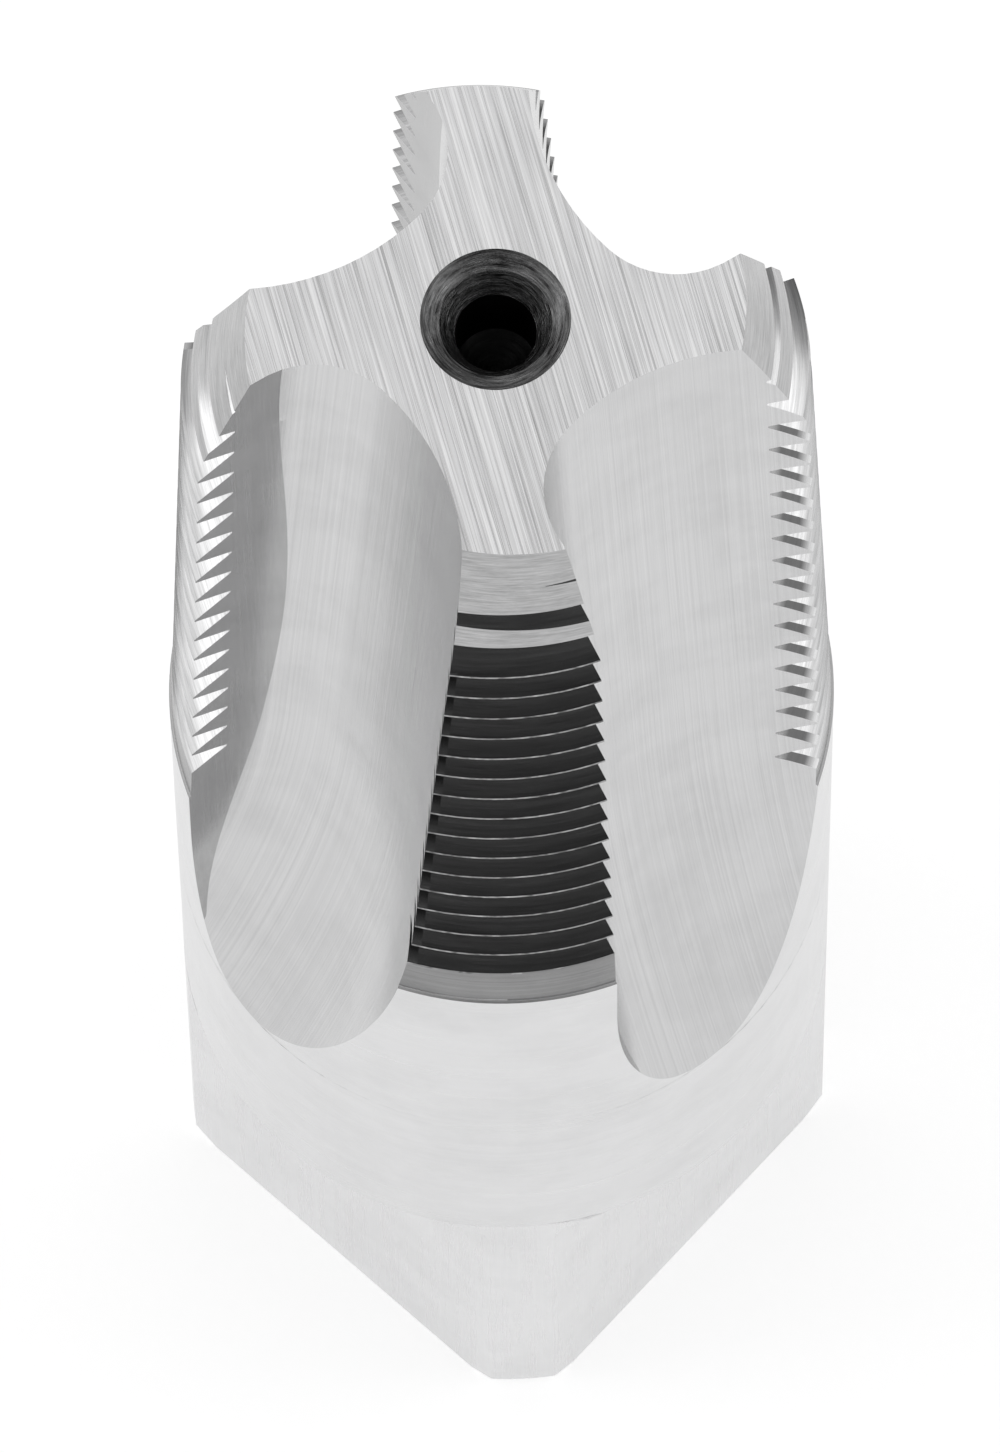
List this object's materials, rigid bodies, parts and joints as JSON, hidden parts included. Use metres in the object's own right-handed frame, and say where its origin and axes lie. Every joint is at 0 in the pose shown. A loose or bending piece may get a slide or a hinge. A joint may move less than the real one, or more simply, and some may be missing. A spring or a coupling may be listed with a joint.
{
  "type": "taper pipe tap",
  "caption": "Taper pipe tap: a hardened steel cutting tool with fluted taper thread, ground chamfer, round shank and square drive.",
  "frame": {"origin": "centre of the square drive's end face", "axes": "+Z along the tap's axis from the square drive to the cutting end; the square's flats face X and Y"},
  "size_m": [0.0178, 0.0178, 0.0605],
  "materials": {
    "ground_steel": "ground bright, with fine grinding lines"
  },
  "bodies": {
    "root": {"tap": "ground_steel"}
  },
  "joints": []
}
